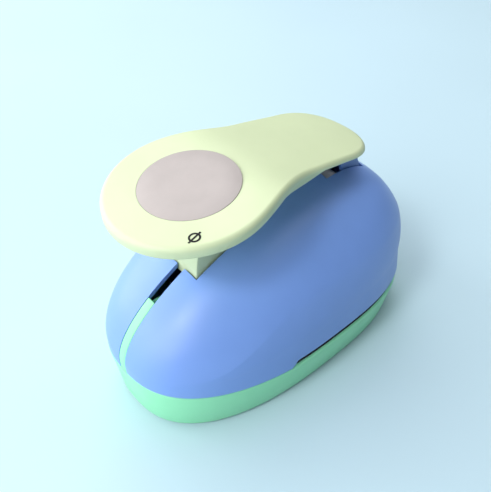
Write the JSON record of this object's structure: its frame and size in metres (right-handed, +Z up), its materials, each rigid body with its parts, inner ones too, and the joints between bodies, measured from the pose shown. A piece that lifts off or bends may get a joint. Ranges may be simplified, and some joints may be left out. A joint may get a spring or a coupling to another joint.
{
  "type": "hole punch",
  "caption": "Lever-operated craft punch for large circles, with an oval domed body, a side paper gap and a round press pad.",
  "frame": {"origin": "on the supporting surface, under the middle of the body", "axes": "+X across the body, +Y from the nose and press pad towards the tail, +Z up"},
  "size_m": [0.106, 0.176, 0.122],
  "materials": {
    "mint_plastic": "moulded, soft gloss",
    "blue_plastic": "moulded, gloss",
    "cream_plastic": "moulded, satin",
    "foot_rubber": "matt",
    "stop_rubber": "matt",
    "plate_steel": "ground",
    "frame_steel": "pressed and zinc plated",
    "arm_enamel": "enamelled, satin",
    "cutter_steel": "ground edge",
    "spring_steel": "drawn wire",
    "screw_zinc": "bright zinc",
    "pin_steel": "polished",
    "plunger_alloy": "die cast, tumbled",
    "washer_nylon": "natural nylon",
    "disc_print": "printed label stock",
    "mark_ink": "pad-printed ink"
  },
  "bodies": {
    "base": {"base_shell": "mint_plastic", "bottom_cover": "mint_plastic", "foot_strip": "foot_rubber", "top_shell": "blue_plastic", "die_plate": "plate_steel", "throat_spacer": "plate_steel", "punch_frame": "frame_steel", "retaining_ring": "spring_steel", "return_spring": "spring_steel", "frame_screws": "screw_zinc", "body_screws": "screw_zinc", "cover_screws": "screw_zinc", "down_stop": "stop_rubber", "hinge_pin": "pin_steel", "pin_clips": "spring_steel", "pivot_washers": "washer_nylon"},
    "lever": {"handle": "cream_plastic", "handle_spine": "cream_plastic", "lever_stem": "cream_plastic", "lever_arm": "arm_enamel", "arm_screws": "screw_zinc", "pivot_sleeve": "washer_nylon", "press_roller": "pin_steel", "roller_pin": "pin_steel", "sample_disc": "disc_print", "size_mark": "mark_ink"},
    "punch": {"cutter": "cutter_steel", "plunger": "plunger_alloy", "cutter_screws": "screw_zinc", "wear_pad": "pin_steel"}
  },
  "joints": [
    {"name": "lever_hinge", "type": "hinge", "parent": "base", "child": "lever", "pos_m": [0, 0.062, 0.068], "axis": [1, 0, 0], "range_deg": [0, 11]},
    {"name": "punch_slide", "type": "slide", "parent": "base", "child": "punch", "axis": [0, 0, -1], "range_m": [0, 0.0056], "stiffness_N_per_m": 2500, "springref_m": -0.008, "deforming": ["return_spring"]}
  ],
  "couplings": [
    {"joint": "punch_slide", "follows": "lever_hinge", "m_per_rad": 0.029}
  ]
}
